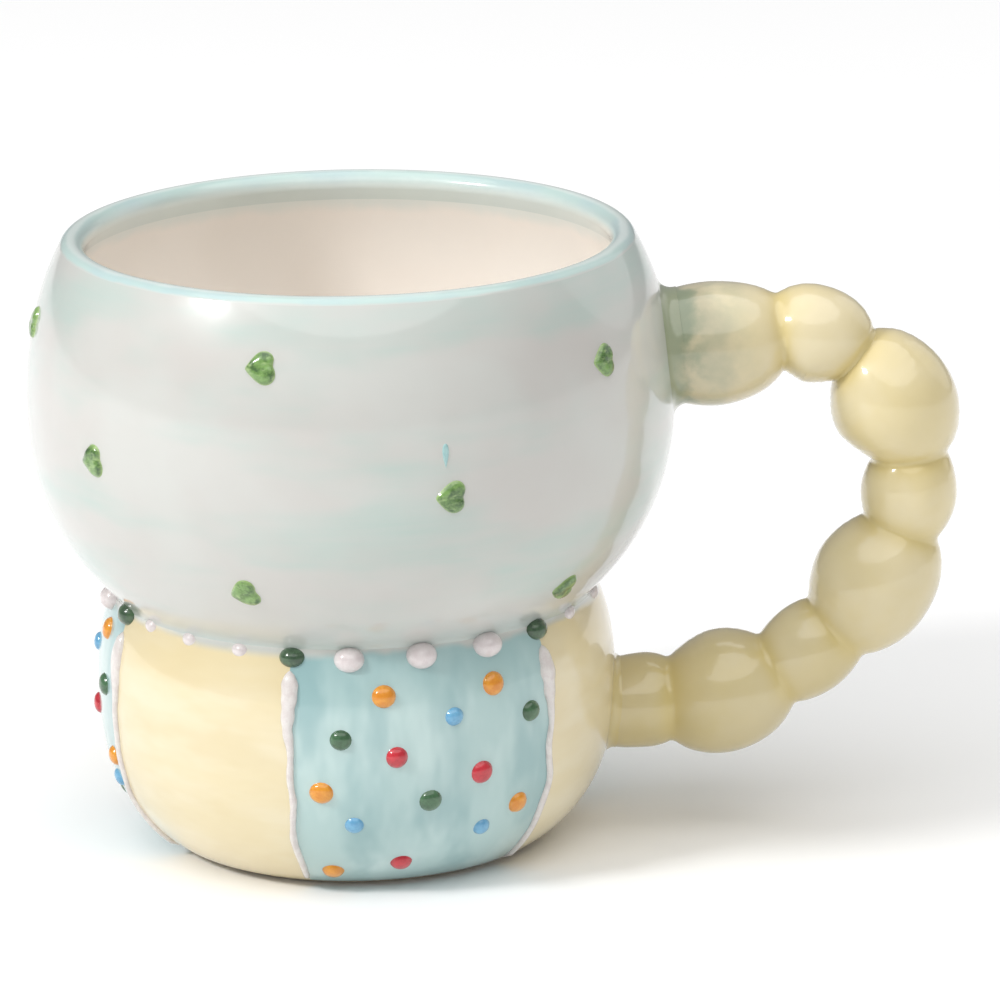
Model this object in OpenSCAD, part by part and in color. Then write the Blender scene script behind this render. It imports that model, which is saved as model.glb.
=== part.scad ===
// Two-tier slip-cast mug: a squashed round bowl on a smaller painted base, with a loop
// handle of fused bubbles and raised slip decoration.
// Z is up, the foot stands on z = 0, the mug's axis is Z and the handle points along +X.
// A turn is an angle round the axis in degrees, from the side that faces -Y towards the handle.

/* [Bowl] */
// Widest diameter of the upper bowl, over the glaze
bowl_d = 100; // [97:0.5:103]
// Height of the bowl's widest line
bowl_z = 70; // [69.5:0.5:71]
// Height from the widest line to where the upper curve would close
bowl_up = 48.3; // [47.5:0.1:49]
// Depth from the widest line to where the lower curve would close
bowl_down = 41.5; // [41:0.1:42]
// Fullness of the bowl's curve: 2 is an ellipse, more is squarer
bowl_full = 2.18; // [2.14:0.02:2.24]

/* [Base] */
// Widest diameter of the base, over the glaze
base_d = 80.6; // [79:0.2:82]
// Height of the base's widest line
base_z = 27; // [26:0.5:28]
// Height from the widest line to where the upper curve would close
base_up = 32.2; // [31.5:0.1:33]
// Depth from the widest line to where the lower curve would close
base_down = 31.7; // [31.5:0.1:33]
// Fullness of the curve below the widest line
base_full = 2.75; // [2.5:0.05:3]
// Height of the crease between base and bowl
neck_z = 40.4; // [40:0.1:41]

/* [Wall] */
// Wall thickness, both glazes included
wall_t = 4; // [3.5:0.1:4.5]
// Thickness of one coat of glaze
coat_t = 0.35; // [0.25:0.05:0.45]
// Height of the inside floor
floor_z = 5; // [4.5:0.1:6]
// Height of the bare clay band above the foot
bare_z = 0.8; // [0.5:0.1:1.2]
// Depth of the hollow inside the foot ring
foot_hollow = 1; // [0.5:0.1:1.5]
// Width of the foot ring that the mug stands on
foot_ring_w = 3; // [2:0.2:4]

/* [Lip] */
// Radius from the axis to the middle of the rounded lip
lip_r = 42.35; // [42.2:0.05:42.5]
// Height of the middle of the rounded lip
lip_z = 94.1; // [94:0.05:94.2]
// Radius of the lip's rounding
lip_round = 2; // [1.9:0.05:2.1]
// How far the painted lip band reaches down inside
band_in = 1.6; // [1:0.2:3]

/* [Handle] */
// Radius of the larger bubbles
big_bubble_r = 9.7; // [9.4:0.1:10]
// Radius of the smaller bubbles
small_bubble_r = 7.5; // [7.2:0.1:7.8]
// Radius of the waist where two bubbles meet
waist_r = 5.8; // [5:0.1:6.4]
// Radius of the collar of slip at the upper joint
upper_collar_r = 8.6; // [8:0.1:9]
// Radius of the collar of slip at the lower joint
lower_collar_r = 6.9; // [6.5:0.1:7.1]

/* [Raised decoration] */
// Radius of the white pearls round the neck
white_pearl_r = 1.75; // [1.4:0.05:2]
// Radius of the green pearls at the heads of the seams
green_pearl_r = 1.6; // [1.4:0.05:2]
// Radius of the coloured dots
dot_r = 1.6; // [1.2:0.05:1.8]
// Height that the dots stand proud
dot_h = 1.1; // [0.8:0.05:1.2]
// Width of a seam's ridge
seam_w = 1; // [0.8:0.1:1.4]
// Height of a seam's ridge
seam_h = 0.8; // [0.5:0.1:1]
// Width of a heart across its two lobes
heart_w = 4.8; // [4:0.1:5.4]
// Height that the hearts stand proud
heart_h = 0.9; // [0.5:0.1:1.2]
// Height of the small drop mark on the bowl
drop_h = 3.6; // [3:0.1:4]

/* [Hidden] */
$fn = 96;

// Bubble centres along the handle, as distance from the axis and height, top joint first
bubbles = [
    [57, 77.2, big_bubble_r],
    [72, 78.3, small_bubble_r],
    [83.8, 67.5, big_bubble_r],
    [86.2, 52.8, small_bubble_r],
    [80.8, 38.5, big_bubble_r],
    [70.6, 27.7, small_bubble_r],
    [57.3, 21.2, big_bubble_r],
    [45, 20.2, small_bubble_r]
];
upper_joint = bubbles[0];
lower_joint = bubbles[7];

// Turns of the six seams, and the panels that they divide
seam_turns = [-67, -15, 46.5, 109, 170, 231];
panel_names = ["front_yellow_panel", "front_aqua_panel", "handle_yellow_panel",
    "rear_aqua_panel", "rear_yellow_panel", "left_aqua_panel"];
aqua_panels = [["front", 1], ["rear", 3], ["left", 5]];

// Dots on each aqua panel: degrees from the panel's middle and height above the table
dot_colours = ["orange", "blue", "green", "red"];
dot_paint = ["orange", "steelblue", "darkgreen", "crimson"];
dot_places = [
    [
        [[-10, 33.5], [15.5, 33.5], [-24, 18.5], [22.5, 13.5], [-23, 4]],
        [[5.5, 29.5], [-17, 13], [13.5, 10.5]],
        [[-19.5, 27], [25, 28], [0, 16.5]],
        [[-7.5, 24], [12, 20], [-5.5, 5.5]]
    ], [
        [[-20, 33], [12, 34], [24, 19], [-9, 11], [19, 5]],
        [[-3, 28], [23, 11], [-22, 18]],
        [[22, 27], [-24, 26], [5, 15]],
        [[8, 22.5], [-12, 20.5], [3, 5]]
    ], [
        [[21, 36], [-16, 34], [26, 16.5], [-5, 14], [-24, 9]],
        [[11, 32], [24, 12.5], [-20, 20]],
        [[23, 27.5], [-6, 28], [9, 8]],
        [[11, 22], [-12, 26], [-14, 5.5]]
    ]
];

// Hearts in three rows: the turn and height of each
heart_places = [
    [[-83, 84], [-16, 86.5], [51, 82.5], [126, 84.5], [200, 86]],
    [[-51, 69], [17, 66.5], [97, 59.5], [155, 67], [232, 68.5]],
    [[-21, 51], [47, 47], [120, 49], [192, 51.5], [256, 50]]
];
drop_turn = 16;
drop_z = 73;

// Radius of a curve that swells to r at the height mid
function swell(z, mid, r, up, down, full) =
    let (t = z > mid ? (z - mid) / up : (mid - z) / down)
    r * pow(1 - pow(min(t, 0.999), full), 1 / full);

function base_fullness(z) = z > base_z ? bowl_full : base_full;
function bowl_r(z, w) =
    swell(z, bowl_z, bowl_d / 2 - w, bowl_up - w, bowl_down - w, bowl_full);
function base_r(z, w) =
    swell(z, base_z, base_d / 2 - w, base_up - w, base_down - w, base_fullness(z));
function outer_r(z) = max(bowl_r(z, 0), base_r(z, 0));
function inner_r(z) = max(bowl_r(z, wall_t), base_r(z, wall_t));

function spaced(a, b, n) = [for (i = [0 : n]) a + (b - a) * i / n];
function reversed(list) = [for (i = [len(list) - 1 : -1 : 0]) list[i]];

// The outline in stretches, each drawn the depth o below the finished surface
lip_from = 29;
lip_to = 209;
bowl_top_z = lip_z + lip_round * sin(lip_from);
inside_top_z = lip_z + lip_round * sin(lip_to);
band_end_z = inside_top_z - band_in;
function base_line(o) = [for (z = spaced(bare_z, neck_z, 22)) [outer_r(z) - o, z]];
function bowl_line(o) = [for (z = spaced(neck_z, bowl_top_z, 34)) [outer_r(z) - o, z]];
function lip_line(o) = [for (a = spaced(lip_from, lip_to, 16))
    [lip_r + (lip_round - o) * cos(a), lip_z + (lip_round - o) * sin(a)]];
function band_line(o) = [for (z = spaced(inside_top_z, band_end_z, 2)) [inner_r(z) + o, z]];
function liner_line(o) = concat(
    [for (z = spaced(band_end_z, floor_z - o, 36)) [inner_r(z) + o, z]],
    [[0, floor_z - o]]);
foot_r = outer_r(0) - coat_t;

// The crease of the neck: how steeply the base and the bowl leave it, and from these
// where a ball of radius 1 that touches both has its centre
base_leaves = atan2(-1, outer_r(neck_z - 1) - outer_r(neck_z));
bowl_leaves = atan2(1, outer_r(neck_z + 1) - outer_r(neck_z));
nest_reach = 1 / sin((bowl_leaves - base_leaves) / 2);
nest_out = nest_reach * cos((bowl_leaves + base_leaves) / 2);
nest_up = nest_reach * sin((bowl_leaves + base_leaves) / 2);

// A coat of glaze over one stretch of the outline
function coat(outer, under) = concat(outer, reversed(under));

// Solids that stand for everything inside the finished outer surface
module bowl_core() {
    rotate_extrude($fn = 240)
        polygon(concat([[0, neck_z]], bowl_line(0), [[0, bowl_top_z]]));
}

module base_core() {
    rotate_extrude($fn = 240)
        polygon(concat([[0, bare_z]], base_line(0), [[0, neck_z]]));
}

// Puts its children at a turn, with X pointing out of the mug
module at_turn(turn) {
    rotate([0, 0, turn - 90]) children();
}

// Puts its children on the outer surface, with Z along the surface's outward normal
module on_surface(turn, z) {
    lean = atan2(outer_r(z - 0.5) - outer_r(z + 0.5), 1);
    at_turn(turn)
        translate([outer_r(z), 0, z])
            rotate([0, 90 - lean, 0])
                children();
}

// The clay body: foot, base, neck, bowl and lip in one casting
module vessel() {
    ring_in = foot_r - foot_ring_w;
    color("linen")
        rotate_extrude()
            polygon(concat(
                [[0, foot_hollow], [ring_in - foot_hollow, foot_hollow], [ring_in, 0], [foot_r, 0]],
                base_line(coat_t), bowl_line(coat_t), lip_line(coat_t),
                band_line(coat_t), liner_line(coat_t)));
}

// Transparent cream glaze on the inside
module liner_glaze() {
    color("seashell")
        rotate_extrude()
            polygon(coat(liner_line(0), liner_line(coat_t)));
}

// Aqua band brushed over the lip
module lip_band() {
    color("paleturquoise")
        rotate_extrude()
            polygon(coat(
                concat(lip_line(0), band_line(0)),
                concat(lip_line(coat_t), band_line(coat_t))));
}

// Off-white glaze on the outside of the bowl
module bowl_glaze() {
    color("mintcream")
        rotate_extrude()
            polygon(coat(bowl_line(0), bowl_line(coat_t)));
}

function seam_gap(i) =
    (i < 5 ? seam_turns[i + 1] : seam_turns[0] + 360) - seam_turns[i];

// One painted panel of the base, between seam i and the next
module panel(i) {
    color(i % 2 == 0 ? "lemonchiffon" : "paleturquoise")
        at_turn(seam_turns[i])
            rotate_extrude(angle = seam_gap(i))
                polygon(coat(base_line(0), base_line(coat_t)));
}

// One white ridge of trailed slip, with a rounded head just under the pearls
module seam(i) {
    sweep = seam_w / (base_d / 2) * 180 / PI;
    head_z = neck_z - 5;
    ridge = spaced(bare_z + 1, head_z, 16);
    color("white") {
        at_turn(seam_turns[i] - sweep / 2)
            rotate_extrude(angle = sweep)
                polygon(concat(
                    [for (z = ridge) [outer_r(z), z]],
                    reversed([for (z = ridge) [outer_r(z) + seam_h, z]])));
        difference() {
            on_surface(seam_turns[i], head_z + 0.4) sphere(r = seam_w);
            base_core();
        }
    }
}

// One pearl of slip that nests in the crease of the neck, touching the base and the bowl
module pearl(turn, r) {
    at_turn(turn)
        translate([outer_r(neck_z) + r * nest_out, 0, neck_z + r * nest_up])
            sphere(r = r);
}

module green_pearls() {
    color("darkgreen")
        for (turn = seam_turns)
            pearl(turn, green_pearl_r);
}

// Three white pearls between each two green ones, at uneven shares of the gap
module white_pearls() {
    color("white")
        for (i = [0 : 5], share = [0.22, 0.48, 0.76])
            pearl(seam_turns[i] + seam_gap(i) * share, white_pearl_r);
}

// All dots of one colour on one aqua panel
module dots(side, paint) {
    panel_at = aqua_panels[side][1];
    middle = seam_turns[panel_at] + seam_gap(panel_at) / 2;
    dome_r = (dot_r * dot_r + dot_h * dot_h) / (2 * dot_h);
    color(dot_paint[paint])
        for (place = dot_places[side][paint])
            on_surface(middle + place[0], place[1])
                rotate_extrude()
                    intersection() {
                        translate([0, dot_h - dome_r]) circle(r = dome_r);
                        square([dot_r, dot_h]);
                    }
}

// Heart outline with its notch at +Y and its tip at -Y: two round lobes and a point
module heart_outline() {
    lobe_r = heart_w * 0.27;
    lobe_x = heart_w / 2 - lobe_r;
    tip_y = -heart_w * 0.62;
    flank = -42;
    notch = acos(-lobe_x / lobe_r);
    lobe = [for (a = spaced(flank, notch, 9)) [lobe_x + lobe_r * cos(a), lobe_r * sin(a)]];
    polygon(concat(
        [[0, tip_y]],
        lobe,
        [for (i = [len(lobe) - 2 : -1 : 0]) [-lobe[i][0], lobe[i][1]]]));
}

// One green heart, its tip pointing away from the handle
module heart(row, k) {
    place = heart_places[row][k];
    color("forestgreen")
        on_surface(place[0], place[1])
            linear_extrude(heart_h)
                heart_outline();
}

// The small grey-green drop mark on the bowl, its tip down
module glaze_drop() {
    drop_r = drop_h * 0.18;
    tip = drop_h - drop_r;
    shoulder = acos(drop_r / tip);
    color("lightblue")
        on_surface(drop_turn, drop_z)
            linear_extrude(coat_t)
                polygon(concat(
                    [[tip, 0]],
                    [for (a = spaced(shoulder, 360 - shoulder, 24))
                        [drop_r * cos(a), drop_r * sin(a)]]));
}

// Puts its children at a bubble's centre
module at_bubble(bubble) {
    translate([bubble[0], 0, bubble[1]]) children();
}

// The chain of bubbles, with a core that joins each to the next
module bubble_chain() {
    for (bubble = bubbles)
        at_bubble(bubble) sphere(r = bubble[2]);
    for (i = [0 : len(bubbles) - 2]) {
        step = bubbles[i + 1] - bubbles[i];
        reach = norm([step[0], step[1]]);
        at_bubble(bubbles[i])
            rotate([0, 90 - atan2(step[1], step[0]), 0])
                cylinder(r = waist_r, h = reach);
    }
}

module handle() {
    color("palegoldenrod")
        difference() {
            bubble_chain();
            bowl_core();
            base_core();
        }
}

// A collar of slip that fills in round a joint between the handle and the wall
module collar(joint, r, reach) {
    color("beige")
        difference() {
            at_bubble(joint)
                rotate([0, -90, 0])
                    cylinder(r = r, h = reach);
            at_bubble(joint) sphere(r = joint[2]);
            bowl_core();
            base_core();
        }
}

module upper_luting() {
    collar(upper_joint, upper_collar_r, upper_joint[0] - bowl_d / 2 + 3);
}

module lower_luting() {
    collar(lower_joint, lower_collar_r, lower_joint[0] - base_d / 2 + 2);
}

function two_digits(k) = k < 10 ? str("0", k) : str(k);
function seam_name(i) = str("seam_", i + 1);
function heart_name(row, k) = str("heart_", two_digits(row * 5 + k + 1));
function dots_name(side, paint) = str(aqua_panels[side][0], "_", dot_colours[paint], "_dots");

vessel();
handle();
upper_luting();
lower_luting();
liner_glaze();
lip_band();
bowl_glaze();
for (i = [0 : 5])
    panel(i);
for (i = [0 : 5])
    seam(i);
white_pearls();
green_pearls();
for (side = [0 : 2], paint = [0 : 3])
    dots(side, paint);
for (row = [0 : 2], k = [0 : 4])
    heart(row, k);
glaze_drop();
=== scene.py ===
"""A two-tier slip-cast mug with a handle of bubbles and raised slip decoration.

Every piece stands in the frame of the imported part, in metres: Z is up, the foot stands on
z = 0, the mug's axis is Z and the handle points along +X. A turn is an angle round the
axis, from the side that faces -Y towards the handle.
"""

import logging
import math
import random
from collections.abc import Callable, Sequence
from dataclasses import asdict, dataclass, field
from enum import Enum
from itertools import pairwise
from typing import Any

import bmesh
import bpy
from bmesh.types import BMEdge, BMesh, BMVert
from bpy.types import Material, Node, NodeSocket, NodeTree, Object
from mathutils import Matrix, Vector, noise

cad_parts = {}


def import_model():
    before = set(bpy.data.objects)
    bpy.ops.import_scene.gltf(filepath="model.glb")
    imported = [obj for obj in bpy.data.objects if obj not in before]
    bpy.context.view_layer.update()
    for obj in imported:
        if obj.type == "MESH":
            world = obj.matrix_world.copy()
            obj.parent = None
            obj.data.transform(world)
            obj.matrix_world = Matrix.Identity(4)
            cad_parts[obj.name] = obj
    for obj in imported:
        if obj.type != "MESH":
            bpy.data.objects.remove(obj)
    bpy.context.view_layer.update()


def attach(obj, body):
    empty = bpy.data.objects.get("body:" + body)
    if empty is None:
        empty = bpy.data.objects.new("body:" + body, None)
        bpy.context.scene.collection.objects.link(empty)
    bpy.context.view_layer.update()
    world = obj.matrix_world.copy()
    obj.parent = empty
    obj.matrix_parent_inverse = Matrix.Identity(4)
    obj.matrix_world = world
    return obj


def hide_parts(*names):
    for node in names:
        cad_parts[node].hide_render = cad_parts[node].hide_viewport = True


log = logging.getLogger("mug")

Point = tuple[float, float]
Colour = tuple[float, float, float, float]

MM = 0.001
FULL_TURN = math.tau


class Slot(Enum):
    """Material slots of the part's record."""

    CLAY = "bare_clay"
    HANDLE = "handle_glaze"
    JOINT = "joint_glaze"
    LINER = "cream_liner"
    LIP = "aqua_lip"
    BOWL = "celadon_white"
    YELLOW = "yellow_panel"
    AQUA = "aqua_panel"
    WHITE_SLIP = "white_slip"
    GREEN_SLIP = "green_slip"
    ORANGE_SLIP = "orange_slip"
    BLUE_SLIP = "blue_slip"
    RED_SLIP = "red_slip"
    HEART = "heart_green"
    DROP = "grey_drop"


def srgb(red: int, green: int, blue: int) -> Colour:
    """Linear colour of a paint chip.

    Args:
        red, green, blue: The chip's channels, 0 to 255.

    Returns:
        The same colour in linear light, with full alpha.
    """
    def linear(channel: int) -> float:
        """One channel in linear light."""
        c = channel / 255
        return c / 12.92 if c <= 0.04045 else ((c + 0.055) / 1.055) ** 2.4

    return (linear(red), linear(green), linear(blue), 1.0)


def spaced(start: float, end: float, steps: int) -> list[float]:
    """Evenly spaced values from start to end, both included."""
    return [start + (end - start) * i / steps for i in range(steps + 1)]


def soft_max(a: float, b: float, blend: float) -> float:
    """The larger of two values, rounded over where they are within blend of each other."""
    overlap = max(blend - abs(a - b), 0.0) / blend
    return max(a, b) + overlap * overlap * blend / 4


def eased(stops: Sequence[Point], at: float) -> float:
    """Reads a smooth curve through stops.

    Args:
        stops: Pairs of place and value, in rising order of place.
        at: The place to read.

    Returns:
        The value there, with a soft start and end to each stretch.
    """
    if at <= stops[0][0]:
        return stops[0][1]
    for (x0, y0), (x1, y1) in pairwise(stops):
        if at <= x1:
            t = (at - x0) / (x1 - x0)
            return y0 + (y1 - y0) * t * t * (3 - 2 * t)
    return stops[-1][1]


# ---------------------------------------------------------------- shapes


@dataclass(frozen=True)
class Swell:
    """A stretch of the outline whose radius swells to its widest at one height."""

    middle: float
    radius: float
    up: float
    down: float
    full_above: float
    full_below: float

    def at(self, z: float, inset: float = 0.0) -> float:
        """Radius at a height.

        Args:
            z: The height.
            inset: How far inside the finished surface the curve runs.

        Returns:
            The curve's radius there.
        """
        above = z > self.middle
        reach = (self.up if above else self.down) - inset
        full = self.full_above if above else self.full_below
        way = min(abs(z - self.middle) / reach, 0.999)
        return (self.radius - inset) * (1.0 - way**full) ** (1.0 / full)


@dataclass(frozen=True)
class Outline:
    """The mug's outline, inside and out, and the slight sway of a hand-finished wall."""

    bowl: Swell = Swell(0.070, 0.050, 0.0483, 0.0415, 2.18, 2.18)
    base: Swell = Swell(0.027, 0.0403, 0.0322, 0.0317, 2.18, 2.75)
    neck: float = 40.4 * MM
    wall: float = 4 * MM
    coat: float = 0.35 * MM
    floor: float = 5 * MM
    floor_fillet: float = 5 * MM
    bare: float = 0.8 * MM
    foot_hollow: float = 1 * MM
    foot_ring: float = 3 * MM
    foot_round: float = 0.5 * MM
    lip_radius: float = 42.35 * MM
    lip_height: float = 94.1 * MM
    lip_round: float = 2.0 * MM
    lip_from: float = math.radians(29)
    lip_to: float = math.radians(209)
    band_in: float = 1.6 * MM
    crease: float = 1.6 * MM
    inside_crease: float = 5 * MM
    sway: float = 0.13 * MM
    sways_round: float = 1.7

    def outer(self, z: float) -> float:
        """Radius of the finished outer surface at a height."""
        return soft_max(self.bowl.at(z), self.base.at(z), self.crease)

    def inner(self, z: float) -> float:
        """Radius of the finished inner surface at a height."""
        return soft_max(self.bowl.at(z, self.wall), self.base.at(z, self.wall), self.inside_crease)

    @property
    def bowl_top(self) -> float:
        """Height where the bowl's outside turns into the lip."""
        return self.lip_height + self.lip_round * math.sin(self.lip_from)

    @property
    def inside_top(self) -> float:
        """Height where the lip turns into the inside wall."""
        return self.lip_height + self.lip_round * math.sin(self.lip_to)

    @property
    def band_end(self) -> float:
        """Height of the lower edge of the painted lip inside."""
        return self.inside_top - self.band_in

    @property
    def foot_radius(self) -> float:
        """Outer radius of the clay foot."""
        return self.outer(0.0) - self.coat

    def foot_line(self) -> list[Point]:
        """Underside, from the axis to the outer edge of the foot ring, with rounded edges."""
        ring_in = self.foot_radius - self.foot_ring
        rounding = self.foot_round
        arcs = ((ring_in + rounding, 1.0, 0.5), (self.foot_radius - rounding, 0.5, 0.0))
        line = [(0.0, self.foot_hollow), (ring_in - self.foot_hollow, self.foot_hollow)]
        for middle, start, end in arcs:
            line += [
                (middle + rounding * math.cos(a), rounding - rounding * math.sin(a))
                for a in spaced(math.pi * start, math.pi * end, 5)
            ]
        return line

    def base_line(self, depth: float, steps: int) -> list[Point]:
        """Outside of the base, from the glaze's rolled lower edge up to the neck."""
        roll = 0.6 * MM

        def rolled(z: float) -> float:
            """How far the glaze draws in near its lower edge."""
            away = 1.0 - min((z - self.bare) / roll, 1.0)
            return (self.coat - depth) * (1.0 - math.sqrt(1.0 - away * away))

        heights = spaced(self.bare, self.bare + roll, 5) + spaced(self.bare + roll, self.neck, steps)[1:]
        return [(self.outer(z) - depth - rolled(z), z) for z in heights]

    def bowl_line(self, depth: float, steps: int) -> list[Point]:
        """Outside of the bowl, from the neck up to the lip."""
        return [(self.outer(z) - depth, z) for z in spaced(self.neck, self.bowl_top, steps)]

    def lip_line(self, depth: float, steps: int) -> list[Point]:
        """Round of the lip, from outside to inside."""
        rounding = self.lip_round - depth
        return [
            (self.lip_radius + rounding * math.cos(a), self.lip_height + rounding * math.sin(a))
            for a in spaced(self.lip_from, self.lip_to, steps)
        ]

    def band_line(self, depth: float, steps: int) -> list[Point]:
        """Top of the inside wall, as far down as the lip's paint goes."""
        return [(self.inner(z) + depth, z) for z in spaced(self.inside_top, self.band_end, steps)]

    def liner_line(self, depth: float, steps: int) -> list[Point]:
        """Inside wall, the rounded corner at its foot, and the floor to the axis."""
        fillet = self.floor_fillet
        low = self.floor + fillet / 2
        lean = math.atan((self.inner(low + MM) - self.inner(low - MM)) / (2 * MM))
        start = self.floor + fillet * (1.0 - math.sin(lean))
        line = [(self.inner(z) + depth, z) for z in spaced(self.band_end, start, steps)]
        centre = self.inner(start) - fillet * math.cos(lean)
        line += [
            (centre + (fillet + depth) * math.cos(a), self.floor + fillet + (fillet + depth) * math.sin(a))
            for a in spaced(-lean, -math.pi / 2, 8)[1:]
        ]
        return line + [(centre * share, self.floor - depth) for share in (0.75, 0.5, 0.25, 0.0)]

    def slope(self, z: float) -> float:
        """How fast the outer radius grows with height."""
        step = 0.5 * MM
        return (self.outer(z + step) - self.outer(z - step)) / (2 * step)

    def drift(self, turn: float, z: float) -> float:
        """How far the wall sways out of the true round at a place."""
        around = Vector((math.sin(turn), -math.cos(turn), z / self.bowl.radius))
        return self.sway * noise.noise(around * self.sways_round + Vector((3.1, 0.7, 5.3)))

    def place(self, turn: float, z: float, proud: float = 0.0) -> Vector:
        """A point on or over the outer surface.

        Args:
            turn: Turn of the point, in radians.
            z: Height on the surface.
            proud: How far it stands out along the surface's normal.

        Returns:
            The point.
        """
        slope = self.slope(z)
        steep = math.hypot(1.0, slope)
        radius = self.outer(z) + self.drift(turn, z) + proud / steep
        return Vector((radius * math.sin(turn), -radius * math.cos(turn), z - proud * slope / steep))

    def sway_wall(self, mesh: BMesh) -> None:
        """Gives a turned piece the wall's sway, which dies away towards the axis."""
        whole = 30 * MM
        for vert in mesh.verts:
            radius = math.hypot(vert.co.x, vert.co.y)
            if radius > MM:
                turn = math.atan2(vert.co.x, -vert.co.y)
                share = 1.0 + self.drift(turn, vert.co.z) * min(radius / whole, 1.0) / radius
                vert.co.x *= share
                vert.co.y *= share

    def lay(self, verts: Sequence[BMVert], turn: float, z: float) -> None:
        """Bends flat work onto the wall.

        Args:
            verts: Points of the flat work: X goes round, Y goes up and Z stands proud.
            turn: Turn of its origin, in radians.
            z: Height of its origin.
        """
        steep = math.hypot(1.0, self.slope(z))
        for vert in verts:
            height = z + vert.co.y / steep
            vert.co = self.place(turn + vert.co.x / self.outer(height), height, vert.co.z)


def turned(line: Sequence[Point], steps: int, start: float = 0.0, sweep: float = FULL_TURN) -> BMesh:
    """Spins an outline round the axis into a closed skin.

    Args:
        line: Points of radius and height. It closes on itself unless both ends are on the axis.
        steps: Steps of the spin.
        start: Turn of the first copy, in radians.
        sweep: How far it spins, in radians.

    Returns:
        The mesh, with ends on the axis joined and the ends of a part turn closed.
    """
    mesh = bmesh.new()
    verts = [mesh.verts.new((r * math.sin(start), -r * math.cos(start), z)) for r, z in line]
    edges = [mesh.edges.new(pair) for pair in pairwise(verts)]
    if line[0][0] > 0.0 or line[-1][0] > 0.0:
        edges.append(mesh.edges.new((verts[-1], verts[0])))
    whole = sweep == FULL_TURN
    if not whole:
        mesh.faces.new(verts)
    spun = bmesh.ops.spin(
        mesh, geom=verts + edges, cent=(0, 0, 0), axis=(0, 0, 1), angle=sweep, steps=steps, use_merge=whole
    )
    if not whole:
        end = [item for item in spun["geom_last"] if isinstance(item, BMEdge)]
        bmesh.ops.contextual_create(mesh, geom=end)
    bmesh.ops.remove_doubles(mesh, verts=mesh.verts, dist=MM / 1000)
    return mesh


def lofted(
    mesh: BMesh, stations: Sequence[Matrix], segments: int, ring_joined: bool = False
) -> list[list[BMVert]]:
    """Skins a closed tube through rings.

    Args:
        mesh: The mesh that gets the tube.
        stations: One matrix for each ring, which carries a unit circle to its place.
        segments: Points in each ring.
        ring_joined: Whether the last ring joins the first, instead of both being capped.

    Returns:
        The points of each ring.
    """
    ring = bmesh.ops.create_circle(mesh, segments=segments, radius=1.0, matrix=stations[0])["verts"]
    edges = list({edge for vert in ring for edge in vert.link_edges})
    first = edges
    rings = [ring]
    for before, after in pairwise(stations):
        grown = bmesh.ops.extrude_edge_only(mesh, edges=edges)["geom"]
        ring = [item for item in grown if isinstance(item, BMVert)]
        fresh = set(ring)
        edges = [
            item for item in grown if isinstance(item, BMEdge) and fresh.issuperset(item.verts)
        ]
        bmesh.ops.transform(mesh, matrix=after @ before.inverted(), verts=ring)
        rings.append(ring)
    if ring_joined:
        bmesh.ops.bridge_loops(mesh, edges=first + edges)
    else:
        bmesh.ops.edgeloop_fill(mesh, edges=first)
        bmesh.ops.edgeloop_fill(mesh, edges=edges)
    return rings


def ring_place(centre: Vector, across: Vector, up: Vector, width: float, height: float) -> Matrix:
    """Matrix that carries the unit circle to an ellipse.

    Args:
        centre: The ellipse's middle.
        across, up: Directions of its two half-axes.
        width, height: Lengths of the half-axes.

    Returns:
        The matrix.
    """
    along = across.cross(up)
    return Matrix.Translation(centre) @ Matrix((across * width, up * height, along)).transposed().to_4x4()


def level(height: float) -> Matrix:
    """Matrix that lifts the unit circle to a height."""
    return Matrix.Translation((0.0, 0.0, height))


def finished(name: str, mesh: BMesh, material: Material, node: str) -> Object:
    """Turns a mesh into a named piece that stands for one CAD node.

    Args:
        name: The piece's name.
        mesh: Its finished mesh, which is used up.
        material: Its finish.
        node: The CAD node that it replaces.

    Returns:
        The piece.
    """
    corner = math.radians(50)
    bmesh.ops.recalc_face_normals(mesh, faces=mesh.faces)
    for face in mesh.faces:
        face.smooth = True
    for edge in mesh.edges:
        edge.smooth = edge.calc_face_angle(0.0) < corner
    data = bpy.data.meshes.new(name)
    mesh.to_mesh(data)
    mesh.free()
    data.materials.append(material)
    piece = bpy.data.objects.new(name, data)
    bpy.context.scene.collection.objects.link(piece)
    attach(piece, "root")
    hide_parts(node)
    log.info("%s: %d faces, stands for %s", name, len(data.polygons), node)
    return piece


# ---------------------------------------------------------------- finishes


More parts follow.
